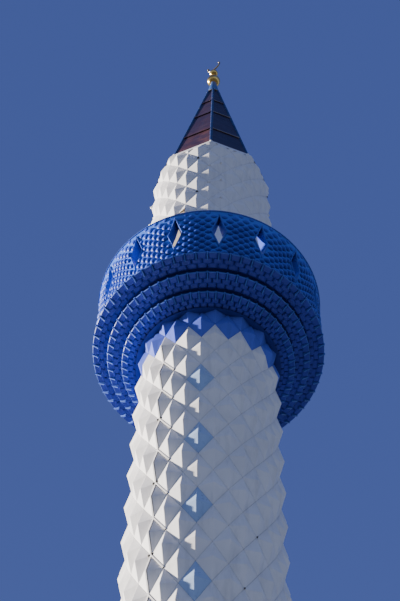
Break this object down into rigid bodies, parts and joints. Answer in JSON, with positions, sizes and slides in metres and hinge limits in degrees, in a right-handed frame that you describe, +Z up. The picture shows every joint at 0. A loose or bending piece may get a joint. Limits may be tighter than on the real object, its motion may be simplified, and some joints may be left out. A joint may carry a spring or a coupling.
{
  "type": "minaret",
  "caption": "Tall round minaret with a stepped corbel balcony, diamond pyramid cladding, an octagonal spire and a crescent finial.",
  "frame": {"origin": "centre of the base underside, on the tower axis at ground level", "axes": "+Z up along the tower axis, -Y out of the entrance and the balcony door, +X to the right seen from outside the entrance"},
  "size_m": [3.8962, 3.8962, 38.1046],
  "materials": {
    "white_cladding": "white painted sheet, folded into pyramids",
    "blue_cladding": "deep blue painted sheet",
    "blue_casting": "blue moulded panels and blocks",
    "render": "pale rendered masonry",
    "concrete": "plain concrete",
    "raw_edge": "tan raw edge and mastic",
    "spire_sheet": "dark navy and brown seamed sheet",
    "cap_sheet": "smooth blue sheet",
    "gilding": "polished gilt",
    "door_paint": "brown stained timber"
  },
  "bodies": {
    "root": {"base_slab": "concrete", "plinth_wall_left": "render", "plinth_wall_right": "render", "plinth_lintel": "render", "plinth_wall_back": "render", "plinth_course": "render", "entrance_frame": "door_paint", "entrance_door": "door_paint", "shaft_core": "concrete", "blue_cladding": "blue_cladding", "balcony_slab": "concrete", "parapet_coping": "blue_casting", "upper_core": "raw_edge", "upper_cladding_foot": "white_cladding", "upper_cladding_middle": "white_cladding", "upper_cladding_head": "white_cladding", "balcony_door_frame": "door_paint", "balcony_door": "door_paint", "spire_shell": "spire_sheet", "eave_flashing": "raw_edge", "spire_cap": "cap_sheet", "finial_stem": "gilding", "crescent": "gilding", "shaft_cladding_1": "white_cladding", "shaft_cladding_2": "white_cladding", "shaft_cladding_3": "white_cladding", "shaft_cladding_4": "white_cladding", "shaft_cladding_5": "white_cladding", "corbel_band_1": "blue_casting", "corbel_band_2": "blue_casting", "corbel_band_3": "blue_casting", "parapet_panel_1": "blue_casting", "parapet_panel_2": "blue_casting", "parapet_panel_3": "blue_casting", "parapet_panel_4": "blue_casting", "parapet_panel_5": "blue_casting", "parapet_panel_6": "blue_casting", "parapet_panel_7": "blue_casting", "parapet_panel_8": "blue_casting"}
  },
  "joints": []
}
